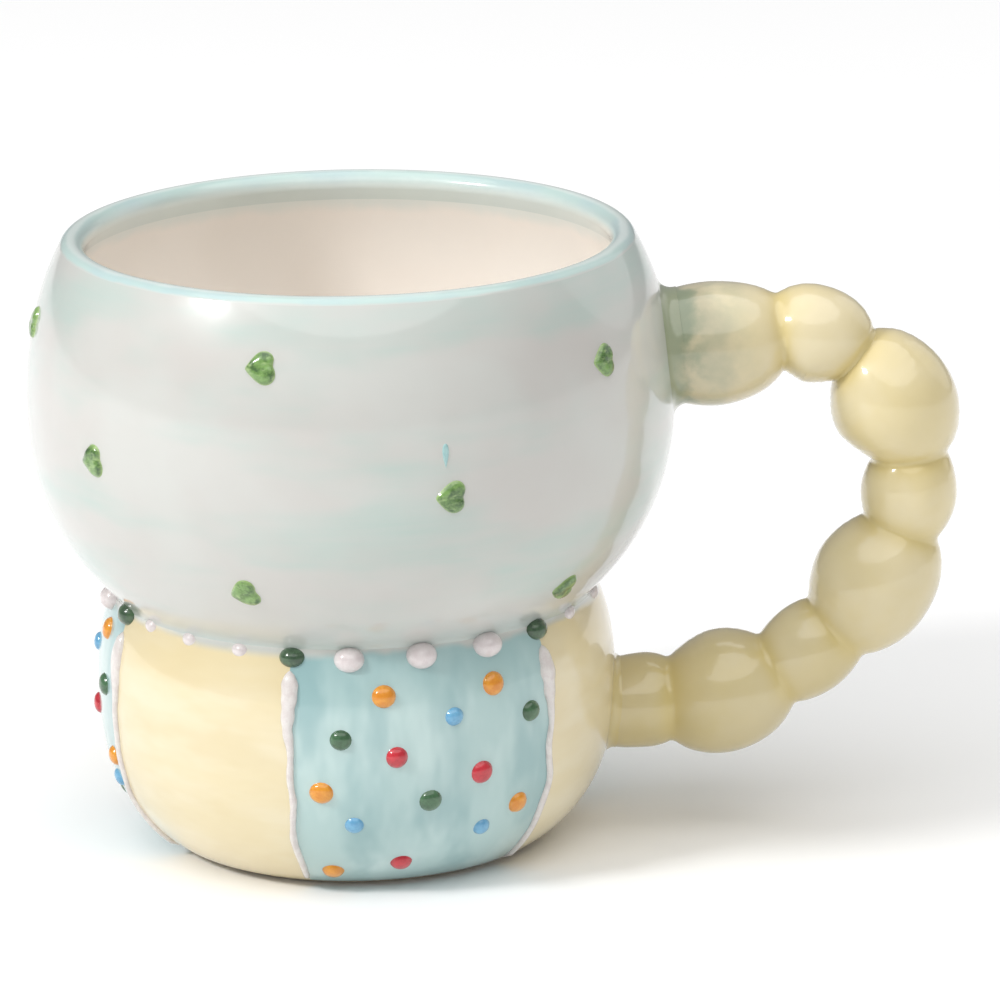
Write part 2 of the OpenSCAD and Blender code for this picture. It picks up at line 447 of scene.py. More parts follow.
class Bench:
    """A node tree, with short ways to add and join its nodes."""

    def __init__(self, tree: NodeTree) -> None:
        """Starts on an empty tree."""
        self.tree = tree
        tree.nodes.clear()

    def add(self, kind: str, inputs: dict[str | int, Any] | None = None, **settings: Any) -> Node:
        """Adds a node.

        Args:
            kind: Its type, without the leading ShaderNode.
            inputs: Values or sockets for its inputs, by name or number.
            settings: Values for its own settings.

        Returns:
            The node.
        """
        node = self.tree.nodes.new(kind if kind.startswith("Node") else f"ShaderNode{kind}")
        for key, value in settings.items():
            setattr(node, key, value)
        for key, value in (inputs or {}).items():
            if isinstance(value, NodeSocket):
                self.tree.links.new(value, node.inputs[key])
            else:
                node.inputs[key].default_value = value
        return node

    def maths(self, operation: str, *values: Any) -> NodeSocket:
        """Result of a Math node."""
        return self.add("Math", dict(enumerate(values)), operation=operation).outputs[0]

    def vector(self, operation: str, *values: Any) -> NodeSocket:
        """Result of a Vector Math node."""
        return self.add("VectorMath", dict(enumerate(values)), operation=operation).outputs[0]

    def times(self, a: Any, b: Any) -> NodeSocket:
        """Product of two values."""
        return self.maths("MULTIPLY", a, b)

    def ramp(self, value: Any, low: Any, high: Any) -> NodeSocket:
        """A value eased from one range into nought to one, and held at both ends."""
        inputs = {"Value": value, "From Min": low, "From Max": high}
        return self.add("MapRange", inputs, interpolation_type="SMOOTHSTEP").outputs[0]

    def mixed(self, share: Any, under: Any, over: Any) -> NodeSocket:
        """Two colours mixed by a share."""
        return self.add("Mix", {0: share, 6: under, 7: over}, data_type="RGBA").outputs[2]

    def effect(self, group: NodeTree, **inputs: Any) -> Node:
        """Places a shared effect with its own values."""
        node = self.add("Group", None, node_tree=group)
        for key, value in inputs.items():
            socket = node.inputs[key.replace("_", " ").capitalize()]
            if isinstance(value, NodeSocket):
                self.tree.links.new(value, socket)
            else:
                socket.default_value = value
        return node


def new_group(name: str, inputs: dict[str, Any], outputs: dict[str, str]) -> tuple[Bench, Any, Any]:
    """Starts a node group with named sockets.

    Args:
        name: The group's name.
        inputs: Default value of each input: a number, or None for a vector.
        outputs: NodeSocket type of each output, without the leading NodeSocket.

    Returns:
        Its bench, its input node and its output node.
    """
    tree = bpy.data.node_groups.new(name, "ShaderNodeTree")
    for key, value in inputs.items():
        kind = "NodeSocketVector" if value is None else "NodeSocketFloat"
        socket = tree.interface.new_socket(key, in_out="INPUT", socket_type=kind)
        if value is not None:
            socket.default_value = value
    for key, kind in outputs.items():
        tree.interface.new_socket(key, in_out="OUTPUT", socket_type=f"NodeSocket{kind}")
    bench = Bench(tree)
    return bench, bench.add("NodeGroupInput"), bench.add("NodeGroupOutput")


def brushwork_group() -> NodeTree:
    """Where a loaded brush left colour: soft strokes laid round the pot.

    Returns:
        A group that turns a place into a mask, with strokes of a given width and height.
    """
    inputs = {"Place": None, "Width": 0.03, "Height": 0.006, "Seed": 0.0, "Least": 0.45, "Most": 0.65}
    bench, given, made = new_group("brushwork", inputs, {"Mask": "Float"})
    width, height = given.outputs["Width"], given.outputs["Height"]
    size = bench.add("CombineXYZ", {0: width, 1: width, 2: height}).outputs[0]
    moved = bench.vector("ADD", bench.vector("DIVIDE", given.outputs["Place"], size), given.outputs["Seed"])
    stroke = bench.add("TexNoise", {"Vector": moved, "Scale": 1.0, "Detail": 3.0, "Roughness": 0.55})
    mask = bench.ramp(stroke.outputs[0], given.outputs["Least"], given.outputs["Most"])
    bench.tree.links.new(mask, made.inputs["Mask"])
    return bench.tree


def mottle_group() -> NodeTree:
    """Uneven pigment: clouds broken up by finer grain.

    Returns:
        A group that turns a place into a mask, with clouds of a given size.
    """
    inputs = {"Place": None, "Size": 0.003, "Seed": 0.0, "Grain": 0.35}
    bench, given, made = new_group("mottle", inputs, {"Mask": "Float"})
    scaled = bench.vector("DIVIDE", given.outputs["Place"], given.outputs["Size"])
    moved = bench.vector("ADD", scaled, given.outputs["Seed"])
    cloudy = {"Vector": moved, "Scale": 1.0, "Detail": 2.0, "Distortion": 0.4}
    cloud = bench.add("TexNoise", cloudy).outputs[0]
    grain = bench.add("TexNoise", {"Vector": moved, "Scale": 5.0, "Detail": 3.0}).outputs[0]
    both = bench.add("Mix", {0: given.outputs["Grain"], 2: cloud, 3: grain}).outputs[0]
    bench.tree.links.new(bench.ramp(both, 0.34, 0.66), made.inputs["Mask"])
    return bench.tree


def glaze_skin_group() -> NodeTree:
    """The surface under a glaze's gloss: slow waves, fine dimples and uneven shine.

    Returns:
        A group that turns a place into a height in metres and a roughness.
    """
    inputs = {"Place": None, "Wave": 0.00005, "Dimple": 0.0000015, "Smooth": 0.28, "Dull": 0.34}
    bench, given, made = new_group("glaze skin", inputs, {"Height": "Float", "Roughness": "Float"})
    place = given.outputs["Place"]
    wave, dimple, shine = (
        bench.add("TexNoise", {"Vector": place, "Scale": scale, "Detail": detail}).outputs[0]
        for scale, detail in ((90.0, 1.0), (900.0, 2.0), (260.0, 3.0))
    )
    waves = bench.times(wave, given.outputs["Wave"])
    height = bench.maths("MULTIPLY_ADD", dimple, given.outputs["Dimple"], waves)
    dull = {"Value": shine, "From Min": 0.3, "From Max": 0.7, "To Min": given.outputs["Smooth"],
            "To Max": given.outputs["Dull"]}
    bench.tree.links.new(height, made.inputs["Height"])
    bench.tree.links.new(bench.add("MapRange", dull).outputs[0], made.inputs["Roughness"])
    return bench.tree


class Effects:
    """The shared effects, each built once."""

    def __init__(self) -> None:
        """Builds every group."""
        self.brushwork = brushwork_group()
        self.mottle = mottle_group()
        self.skin = glaze_skin_group()


class Surface(Bench):
    """The node tree of one finish, with the place on its surface and the shared effects."""

    def __init__(self, tree: NodeTree, effects: Effects) -> None:
        """Starts on an empty tree."""
        super().__init__(tree)
        self.effects = effects
        self.place = self.add("TexCoord").outputs["Object"]
        self.x, self.y, self.z = self.add("SeparateXYZ", {0: self.place}).outputs


@dataclass(frozen=True)
class Strokes:
    """Brush strokes: their size, where their pattern starts, and how much of it shows."""

    width: float
    height: float
    seed: float
    least: float
    most: float

    def mask(self, bench: Surface) -> NodeSocket:
        """Where the strokes lie."""
        return bench.effect(bench.effects.brushwork, place=bench.place, **asdict(self)).outputs[0]


@dataclass(frozen=True)
class Clouds:
    """Clouds of pigment: their size, where their pattern starts, and how grainy they are."""

    size: float
    seed: float
    grain: float = 0.35

    def mask(self, bench: Surface) -> NodeSocket:
        """Where the clouds lie."""
        return bench.effect(bench.effects.mottle, place=bench.place, **asdict(self)).outputs[0]


@dataclass(frozen=True)
class Finish:
    """What every fired finish shares: its skin, its gloss and its name."""

    name: str
    gloss: float = 1.0
    gloss_roughness: float = 0.07
    wave: float = 0.00005
    dimple: float = 0.0000015
    smooth: float = 0.28
    dull: float = 0.34
    relief: float = 0.6

    def colour(self, bench: Surface) -> NodeSocket:
        """Colour of the finish over its surface. Each finish has its own."""
        raise NotImplementedError

    def material(self, effects: Effects) -> Material:
        """Builds the material.

        Args:
            effects: The shared effects.

        Returns:
            The finished material.
        """
        material = bpy.data.materials.new(self.name)
        material.use_nodes = True
        bench = Surface(material.node_tree, effects)
        skin = bench.effect(
            effects.skin, place=bench.place,
            wave=self.wave, dimple=self.dimple, smooth=self.smooth, dull=self.dull,
        )
        relief = {"Height": skin.outputs["Height"], "Strength": self.relief, "Distance": 1.0}
        bump = bench.add("Bump", relief)
        shader = bench.add("BsdfPrincipled", {
            "Base Color": self.colour(bench),
            "Roughness": skin.outputs["Roughness"],
            "Normal": bump.outputs[0],
            "Coat Weight": self.gloss,
            "Coat Roughness": self.gloss_roughness,
            "Coat IOR": 1.5,
            "Specular IOR Level": 0.35,
        })
        bench.add("OutputMaterial", {"Surface": shader.outputs[0]})
        return material


@dataclass(frozen=True)
class BareClay(Finish):
    """Unglazed fired clay of the foot, with fine grit."""

    body: Colour = srgb(232, 224, 208)
    grit: Colour = srgb(196, 182, 160)
    clouds: Clouds = Clouds(0.004, 2.0)
    specks: Clouds = Clouds(0.0006, 9.0)
    strength: float = 0.4

    def colour(self, bench: Surface) -> NodeSocket:
        """Pale clay, speckled darker."""
        clouds, specks = (pattern.mask(bench) for pattern in (self.clouds, self.specks))
        share = bench.times(bench.maths("ADD", clouds, specks), self.strength)
        return bench.mixed(share, self.body, self.grit)


@dataclass(frozen=True)
class BowlGlaze(Finish):
    """Off-white glaze outside the bowl, with watery washes, a green cast under the lip, and a grey-green
    edge at the neck that is partly the glaze's tint and partly painted shade.
    """

    white: Colour = srgb(204, 205, 200)
    mint: Colour = srgb(170, 199, 190)
    blush: Colour = srgb(195, 187, 182)
    # Grey green: a cast under the lip, and at the neck partly a tint and partly painted shade
    shade: Colour = srgb(181, 195, 190)
    clouds: Clouds = Clouds(0.03, 4.0, 0.1)
    wash: Strokes = Strokes(0.045, 0.014, 1.3, 0.42, 0.68)
    bristles: Strokes = Strokes(0.03, 0.0012, 7.1, 0.35, 0.7)
    blushing: float = 0.5
    wash_share: float = 0.5
    bristle_share: float = 0.18
    ragged: float = 0.005
    lip_reach: Point = (-0.008, 0.003)
    lip_cast: float = 0.18
    neck_reach: float = 0.0035
    # How strongly the painted shade greys the glaze at the neck
    neck_cast: float = 0.7
    top: float = Outline().bowl_top
    neck: float = Outline().neck

    def colour(self, bench: Surface) -> NodeSocket:
        """White, warmed in clouds, brushed over with mint, greener under the lip, and greyer at the neck,
        partly tint and partly painted shade.
        """
        clouds = self.clouds.mask(bench)
        broad = self.wash.mask(bench)
        bristles = self.bristles.mask(bench)
        ragged = bench.maths("MULTIPLY_ADD", broad, self.ragged, bench.z)
        near_lip = bench.ramp(ragged, self.top + self.lip_reach[0], self.top + self.lip_reach[1])
        # Painted shade, with some real tint: the glaze greys towards the neck crease
        shade_near_neck = bench.ramp(ragged, self.neck + self.neck_reach, self.neck)
        warm = bench.mixed(bench.times(clouds, self.blushing), self.white, self.blush)
        thick = bench.maths("MULTIPLY_ADD", bristles, self.bristle_share, self.wash_share)
        washed = bench.mixed(bench.times(broad, thick), warm, self.mint)
        casts = (bench.times(near_lip, self.lip_cast), bench.times(shade_near_neck, self.neck_cast))
        return bench.mixed(bench.maths("MAXIMUM", *casts), washed, self.shade)


@dataclass(frozen=True)
class LipPaint(Finish):
    """Aqua brushed over the lip, its crest paler from thin paint and a painted highlight, fading into the
    bowl's white.

    Its angles go round the lip's section, from straight up towards the inside.
    """

    aqua: Colour = srgb(187, 210, 205)
    sky: Colour = srgb(182, 205, 205)
    # Pale inside the lip: partly the paint's own tone, partly painted light that lifts the inside out of
    # its shade
    deep: Colour = srgb(236, 244, 240)
    # Pale crest: partly paint rubbed thin, partly a painted highlight
    crest: Colour = srgb(232, 238, 234)
    white: Colour = srgb(200, 203, 198)
    turns: Strokes = Strokes(0.014, 0.02, 3.0, 0.4, 0.62)
    uneven: Strokes = Strokes(0.008, 0.008, 8.0, 0.3, 0.7)
    wander: float = 0.16
    radius: float = Outline().lip_radius
    height: float = Outline().lip_height
    outside: Point = (math.radians(-58), math.radians(-42))
    worn_from: Point = (math.radians(-28), math.radians(-4))
    worn_to: Point = (math.radians(34), math.radians(12))
    inside: Point = (math.radians(40), math.radians(100))
    worn: float = 0.55
    deepened: float = 0.7

    def colour(self, bench: Surface) -> NodeSocket:
        """Aqua and sky in turns round the lip, white outside, pale on the crest with a painted highlight,
        and pale inside with painted light against its shade.
        """
        turns = self.turns.mask(bench)
        uneven = self.uneven.mask(bench)
        square = bench.maths("MULTIPLY_ADD", bench.y, bench.y, bench.times(bench.x, bench.x))
        out = bench.maths("SUBTRACT", bench.maths("SQRT", square), self.radius)
        up = bench.maths("SUBTRACT", bench.z, self.height)
        inwards = bench.maths("ARCTAN2", bench.times(out, -1.0), up)
        angle = bench.maths("MULTIPLY_ADD", uneven, self.wander, inwards)
        both = bench.mixed(turns, self.aqua, self.sky)
        # Painted light, with some real pale tone, on the inside of the lip
        inside = bench.times(bench.ramp(angle, *self.inside), self.deepened)
        # Painted highlight, with some real thin paint, along the crest
        worn = bench.times(bench.ramp(angle, *self.worn_from), bench.ramp(angle, *self.worn_to))
        deeper = bench.mixed(inside, both, self.deep)
        crest_paled = bench.mixed(bench.times(worn, self.worn), deeper, self.crest)
        return bench.mixed(bench.ramp(angle, self.outside[1], self.outside[0]), crest_paled, self.white)


@dataclass(frozen=True)
class LinerGlaze(Finish):
    """Cream glaze inside, a little pinker and deeper towards the floor."""

    cream: Colour = srgb(255, 250, 243)
    deep: Colour = srgb(254, 243, 232)
    # The lip's aqua bleeding in, kept pale as painted light against the shade under the lip
    aqua: Colour = srgb(236, 244, 240)
    clouds: Clouds = Clouds(0.035, 6.0, 0.1)
    bleeding: Strokes = Strokes(0.009, 0.02, 5.0, 0.35, 0.65)
    clouded: float = 0.25
    lowered: float = 0.55
    ragged: float = 0.0008
    floor: float = Outline().floor
    top: float = Outline().band_end
    fade: float = 2.2 * MM
    over_top: float = 0.4 * MM
    bled: float = 0.85

    def colour(self, bench: Surface) -> NodeSocket:
        """Cream, deeper downwards and in slow clouds, with the lip's aqua bleeding into its edge, kept pale
        as painted light.
        """
        clouds = self.clouds.mask(bench)
        bleeding = self.bleeding.mask(bench)
        lower = bench.times(bench.ramp(bench.z, self.top, self.floor), self.lowered)
        share = bench.maths("MULTIPLY_ADD", clouds, self.clouded, lower)
        edge = bench.maths("MULTIPLY_ADD", bleeding, self.ragged, bench.z)
        bled = bench.times(bench.ramp(edge, self.top - self.fade, self.top + self.over_top), self.bled)
        return bench.mixed(bled, bench.mixed(share, self.cream, self.deep), self.aqua)


@dataclass(frozen=True)
class PanelPaint(Finish):
    """Brushed colour of a panel of the base, uneven in strength, darker near the neck as painted shade
    under the bowl.

    Its seed sets both kinds of stroke: thin ones, and larger strong ones.
    """

    body: Colour = srgb(230, 216, 178)
    thin: Colour = srgb(235, 225, 197)
    strong: Colour = srgb(221, 203, 157)
    fringe: Colour = srgb(198, 200, 194)
    seed: float = 0.0
    stroke_width: float = 0.02
    stroke_height: float = 0.006
    thin_shows: Point = (0.42, 0.66)
    strong_shows: Point = (0.45, 0.68)
    strong_size: Point = (1.3, 1.6)
    strong_seed: float = 11.0
    contrast: float = 0.5
    # How far the painted shade under the bowl darkens the panel near the neck
    pooled: float = 0.5
    pool_reach: Point = (-0.011, -0.001)
    fringe_reach: Point = (-0.0019, -0.0004)
    ragged: float = -0.0009
    neck: float = Outline().neck

    def colour(self, bench: Surface) -> NodeSocket:
        """Body colour, thinned and strengthened in strokes, darkened near the neck as painted shade, with
        the bowl's white run over its edge.
        """
        width, height = self.stroke_width, self.stroke_height
        wider, higher = width * self.strong_size[0], height * self.strong_size[1]
        thin = Strokes(width, height, self.seed, *self.thin_shows).mask(bench)
        strong = Strokes(wider, higher, self.seed + self.strong_seed, *self.strong_shows).mask(bench)
        # Painted shade: the panel darkens towards the neck, under the bowl's overhang
        pooled = bench.ramp(bench.z, self.neck + self.pool_reach[0], self.neck + self.pool_reach[1])
        lighter = bench.mixed(bench.times(thin, self.contrast), self.body, self.thin)
        streaked = bench.mixed(bench.times(strong, self.contrast), lighter, self.strong)
        deeper = bench.mixed(bench.times(pooled, self.pooled), streaked, self.strong)
        run = bench.maths("MULTIPLY_ADD", thin, self.ragged, bench.z)
        fringed = bench.ramp(run, self.neck + self.fringe_reach[0], self.neck + self.fringe_reach[1])
        return bench.mixed(fringed, deeper, self.fringe)


@dataclass(frozen=True)
class SlipPaint(Finish):
    """Thick coloured slip, clouded with its own deeper shade."""

    body: Colour = srgb(228, 223, 219)
    deep: Colour = srgb(212, 202, 199)
    clouds: Clouds = Clouds(0.0012, 5.0, 0.3)
    strength: float = 0.7

    def colour(self, bench: Surface) -> NodeSocket:
        """Body colour clouded with its deeper shade."""
        return bench.mixed(bench.times(self.clouds.mask(bench), self.strength), self.body, self.deep)


@dataclass(frozen=True)
class HeartSlip(SlipPaint):
    """Leaf green slip with pale streaks where the brush lifted and a pale thin rim."""

    body: Colour = srgb(122, 160, 88)
    deep: Colour = srgb(58, 92, 46)
    pale: Colour = srgb(176, 202, 136)
    clouds: Clouds = Clouds(0.0017, 5.0, 0.3)
    streaks: Strokes = Strokes(0.0016, 0.0007, 2.0, 0.52, 0.7)
    streaked: float = 0.45
    rimmed: float = 0.7

    def colour(self, bench: Surface) -> NodeSocket:
        """Two greens in clouds, streaked pale, and pale again along the rim."""
        clouds = self.clouds.mask(bench)
        streaks = self.streaks.mask(bench)
        rim = bench.add("Attribute", None, attribute_name="rim").outputs["Fac"]
        greens = bench.mixed(clouds, self.body, self.deep)
        streaked = bench.mixed(bench.times(streaks, self.streaked), greens, self.pale)
        return bench.mixed(bench.times(rim, self.rimmed), streaked, self.pale)


@dataclass(frozen=True)
class HandleGlaze(Finish):
    """Butter yellow glaze, grey green by the upper joint, with painted shade: olive low down and deeper
    gold in the creases.
    """

    butter: Colour = srgb(225, 209, 161)
    pale: Colour = srgb(229, 217, 184)
    # Deeper gold, painted as shade in the creases
    gold: Colour = srgb(209, 189, 120)
    # Olive, painted as shade on the lower bubbles
    olive: Colour = srgb(172, 156, 97)
    rose: Colour = srgb(207, 198, 171)
    green: Colour = srgb(140, 153, 126)
    clouds: Clouds = Clouds(0.012, 3.0, 0.15)
    blots: Clouds = Clouds(0.0075, 8.6, 0.2)
    age: Clouds = Clouds(0.015, 1.9, 0.1)
    blot: float = 0.88
    ragged: float = -0.003
    joint_floor: Point = (0.05, 0.058)
    wash_reach: Point = (0.066, 0.055)
    band_reach: Point = (0.0524, 0.0488)
    low_reach: Point = (0.05, 0.012)
    spotted: float = 0.42
    clouded: float = 0.6
    age_share: float = 0.12
    low_share: float = 0.42
    pooled: float = 0.7
    flushed: float = 0.65

    def colour(self, bench: Surface) -> NodeSocket:
        """Butter with pale strokes, painted shade in olive low down and gold in the creases, and a green
        wash that blots out from the bowl.
        """
        clouds, blots, age = (pattern.mask(bench) for pattern in (self.clouds, self.blots, self.age))
        # Weight of the painted shade in the creases between bubbles and at the joints
        crease_shade_weight = bench.add("Attribute", None, attribute_name="crease_shade_weight").outputs["Fac"]
        out, up = bench.x, bench.z
        ragged = bench.maths("MULTIPLY_ADD", blots, self.ragged, out)
        high = bench.ramp(up, *self.joint_floor)
        washed = bench.times(bench.ramp(out, *self.wash_reach), high)
        band = bench.times(bench.ramp(ragged, *self.band_reach), high)
        spots = bench.times(bench.times(washed, blots), self.spotted)
        # Painted shade: the lower bubbles turn olive, mixed with random olive clouds
        low = bench.ramp(up, *self.low_reach)
        low_shade_and_clouds = bench.maths("MULTIPLY_ADD", low, self.low_share, bench.times(age, self.age_share))
        base = bench.mixed(bench.times(clouds, self.clouded), self.butter, self.pale)
        shaded = bench.mixed(low_shade_and_clouds, base, self.olive)
        # Painted shade in the creases: deeper gold
        pooled = bench.mixed(bench.times(crease_shade_weight, self.pooled), shaded, self.gold)
        rosy = bench.mixed(bench.times(washed, self.flushed), pooled, self.rose)
        blotted = bench.mixed(spots, rosy, self.green)
        return bench.mixed(bench.times(band, self.blot), blotted, self.green)


# ---------------------------------------------------------------- the mug


@dataclass
class MugPart:
    """What every part of the mug is built from."""

    outline: Outline
    effects: Effects


@dataclass
class Vessel(MugPart):
    """The cast body and the coats that cover it inside and over the lip."""

    steps: int = 192
    liner_steps: int = 80
    lip_steps: int = 36
    band_steps: int = 3
    bowl_steps: int = 90
    clay_steps: tuple[int, ...] = (40, 50, 18, 2, 50)

    def build(self) -> None:
        """Builds the clay, and then the liner, the lip band and the bowl's glaze over it."""
        self.clay()
        line = self.outline
        self.coat_of(
            "inside_glaze", lambda depth: line.liner_line(depth, self.liner_steps)[::-1],
            LinerGlaze("cream glaze"), "liner_glaze", Slot.LINER,
        )
        self.coat_of(
            "painted_lip",
            lambda depth: line.lip_line(depth, self.lip_steps) + line.band_line(depth, self.band_steps)[1:],
            LipPaint("aqua lip paint"), "lip_band", Slot.LIP,
        )
        self.coat_of(
            "bowl_coat", lambda depth: line.bowl_line(depth, self.bowl_steps),
            BowlGlaze("washed white glaze"), "bowl_glaze", Slot.BOWL,
        )

    def clay(self) -> None:
        """Builds the cast body in one closed skin, from the foot over the lip to the floor."""
        line, coat = self.outline, self.outline.coat
        base, bowl, lip, band, liner = self.clay_steps
        stretches = (
            line.foot_line(), line.base_line(coat, base), line.bowl_line(coat, bowl)[1:],
            line.lip_line(coat, lip), line.band_line(coat, band), line.liner_line(coat, liner)[1:],
        )
        mesh = turned([point for stretch in stretches for point in stretch], self.steps // 2)
        self.outline.sway_wall(mesh)
        finish = BareClay("bare clay", gloss=0.0, smooth=0.7, dull=0.9, dimple=0.00003)
        finished("body_clay", mesh, finish.material(self.effects), "vessel")

    def coat_of(
        self, name: str, line_at: Callable[[float], list[Point]], finish: Finish, node: str, slot: Slot
    ) -> None:
        """Builds one coat of glaze that goes all the way round.

        Args:
            name: The piece's name.
            line_at: Gives the line that lies a depth under the finished surface.
            finish: Its finish.
            node: The CAD node that it replaces.
            slot: Not used.
        """
        mesh = turned(line_at(0.0)[::-1] + line_at(self.outline.coat), self.steps)
        self.outline.sway_wall(mesh)
        finished(name, mesh, finish.material(self.effects), node)


@dataclass
class PaintedBase(MugPart):
    """The six painted panels of the base, the seams between them and the pearls over them."""

    seam_turns: tuple[float, ...] = (-67, -15, 46.5, 109, 170, 231)
    panels: tuple[str, ...] = (
        "front_yellow_panel", "front_aqua_panel", "handle_yellow_panel",
        "rear_aqua_panel", "rear_yellow_panel", "left_aqua_panel",
    )
    steps_per_degree: float = 0.55
    panel_steps: int = 56
    seam_steps: int = 70
    seam_top: float = 37.2 * MM
    seam_foot: float = 1.6 * MM
    head_width: float = 2.8 * MM
    head_height: float = 1.0 * MM
    wander: float = 0.75 * MM
    unevenness: float = 0.3
    flat_below: float = 0.3
    white_pearl: float = 2.45 * MM
    small_pearl: float = 0.66
    green_pearl: float = 2.15 * MM
    pearl_shares: tuple[float, ...] = (0.22, 0.48, 0.76)
    pearl_drop: float = 0.95 * MM
    pearl_sunk: float = 2.95 * MM
    pearl_settling: float = 0.3
    pearl_lift: float = 1.2 * MM
    pearl_sizes: Point = (0.94, 1.02)
    pearl_heights: Point = (0.78, 0.86)
    pearl_depth: float = 0.9
    pearl_stray: float = 0.6

    def gap(self, i: int) -> float:
        """Degrees from one seam to the next."""
        following = self.seam_turns[i + 1] if i < len(self.seam_turns) - 1 else self.seam_turns[0] + 360
        return following - self.seam_turns[i]

    def middle(self, i: int) -> float:
        """Turn of a panel's middle, in degrees."""
        return self.seam_turns[i] + self.gap(i) / 2

    def build(self) -> None:
        """Builds the panels, the seams and both kinds of pearl."""
        finishes = (
            PanelPaint("butter panel paint", seed=1.0),
            PanelPaint(
                "aqua panel paint",
                body=srgb(178, 205, 203), thin=srgb(198, 220, 217), strong=srgb(142, 178, 180),
                seed=4.0, stroke_width=0.008, stroke_height=0.018, contrast=0.75,
            ),
            SlipPaint("white slip"),
            SlipPaint("rosy white slip", body=srgb(226, 218, 217), deep=srgb(214, 202, 202)),
            SlipPaint("green slip", body=srgb(72, 102, 70), deep=srgb(40, 66, 46), strength=0.8),
        )
        yellow, aqua, slip, rosy, green = (finish.material(self.effects) for finish in finishes)
        for i, name in enumerate(self.panels):
            paint, slot = (yellow, Slot.YELLOW) if i % 2 == 0 else (aqua, Slot.AQUA)
            self.panel(i, name, paint, slot)
        for i, turn in enumerate(self.seam_turns):
            self.seam(i, turn, slip)
        heads = [(turn, self.green_pearl) for turn in self.seam_turns]
        self.pearls("green_pearl_ring", heads, green, "green_pearls", Slot.GREEN_SLIP)
        between = [
            (turn + self.gap(i) * share, self.white_pearl * (self.small_pearl if i % 2 == 0 else 1.0))
            for i, turn in enumerate(self.seam_turns)
            for share in self.pearl_shares
        ]
        self.pearls("white_pearl_ring", between, rosy, "white_pearls", Slot.WHITE_SLIP)

    def panel(self, i: int, name: str, paint: Material, slot: Slot) -> None:
        """Builds the coat of one panel, between a seam and the next."""
        line, gap = self.outline, self.gap(i)
        section = line.base_line(0.0, self.panel_steps) + line.base_line(line.coat, self.panel_steps)[::-1]
        steps = round(gap * self.steps_per_degree)
        mesh = turned(section, steps, math.radians(self.seam_turns[i]), math.radians(gap))
        self.outline.sway_wall(mesh)
        finished(f"{name}_coat", mesh, paint, name)

    def seam(self, i: int, turn: float, slip: Material) -> None:
        """Builds one ridge of trailed slip: a drop at its head, then a thin wandering line."""
        length = self.seam_top - self.seam_foot
        widths = (
            (0.0, 0.12), (0.02, 0.62), (0.06, 0.95), (0.11, 1.0), (0.17, 0.84), (0.25, 0.54), (0.34, 0.4),
            (0.96, 0.4), (1.0, 0.1),
        )
        heights = (
            (0.0, 0.1), (0.03, 0.75), (0.09, 1.0), (0.2, 0.8), (0.34, 0.66), (0.97, 0.62), (1.0, 0.1),
        )
        stations = []
        for share in (t / self.seam_steps for t in range(self.seam_steps + 1)):
            bend = Vector((i * 7.3, share * 6, 0.0))
            sway = self.wander * noise.noise(bend) * min(share * 4, 1.0)
            uneven = 1.0 + self.unevenness * noise.noise(bend * 2.7 + Vector((0, 0, 4)))
            width = self.head_width / 2 * eased(widths, share) * uneven
            height = self.head_height * eased(heights, share)
            centre = Vector((sway, -share * length, 0.0))
            stations.append(ring_place(centre, Vector((1, 0, 0)), Vector((0, 0, 1)), width, height))
        mesh = bmesh.new()
        lofted(mesh, stations, 16)
        for vert in mesh.verts:
            aside, z, proud = vert.co.x, self.seam_top + vert.co.y, vert.co.z
            proud *= self.flat_below if proud < 0 else 1.0
            vert.co = self.outline.place(math.radians(turn) + aside / self.outline.outer(z), z, proud)
        finished(f"slip_seam_{i + 1}", mesh, slip, f"seam_{i + 1}")

    def nest(self, radius: float) -> Point:
        """Radius and height of the centre of a ball that nests in the neck's crease."""
        neck, step = self.outline.neck, MM
        base, bowl = self.outline.base, self.outline.bowl
        leaves_down = math.atan2(-step, base.at(neck - step) - base.at(neck))
        leaves_up = math.atan2(step, bowl.at(neck + step) - bowl.at(neck))
        reach = radius / math.sin((leaves_up - leaves_down) / 2)
        bisector = (leaves_up + leaves_down) / 2
        return self.outline.outer(neck) + reach * math.cos(bisector), neck + reach * math.sin(bisector)

    def pearls(self, name: str, balls: list[Point], slip: Material, node: str, slot: Slot) -> None:
        """Builds a ring of pearls that sank into the neck's crease, each a little different.

        Args:
            name: The piece's name.
            balls: Turn in degrees and radius of each pearl.
            slip: Their finish.
            node: The CAD node that the ring replaces.
            slot: Not used.
        """
        dice = random.Random(len(balls))
        mesh = bmesh.new()
        for turn, radius in balls:
            out, height = self.nest(radius)
            lift = self.pearl_lift * math.sin(math.radians(turn)) ** 2
            sunk = self.pearl_sunk * (radius / self.white_pearl) ** self.pearl_settling
            out, height = out - sunk, height - self.pearl_drop + lift
            size = radius * dice.uniform(*self.pearl_sizes)
            high = size * dice.uniform(*self.pearl_heights)
            squeeze = Matrix.Diagonal((size, size * self.pearl_depth, high, 1.0))
            angle = math.radians(turn + dice.uniform(-self.pearl_stray, self.pearl_stray))
            at = Matrix.Rotation(angle, 4, "Z") @ Matrix.Translation((0.0, -out, height))
            bmesh.ops.create_uvsphere(mesh, u_segments=24, v_segments=16, radius=1.0, matrix=at @ squeeze)
        finished(name, mesh, slip, node)


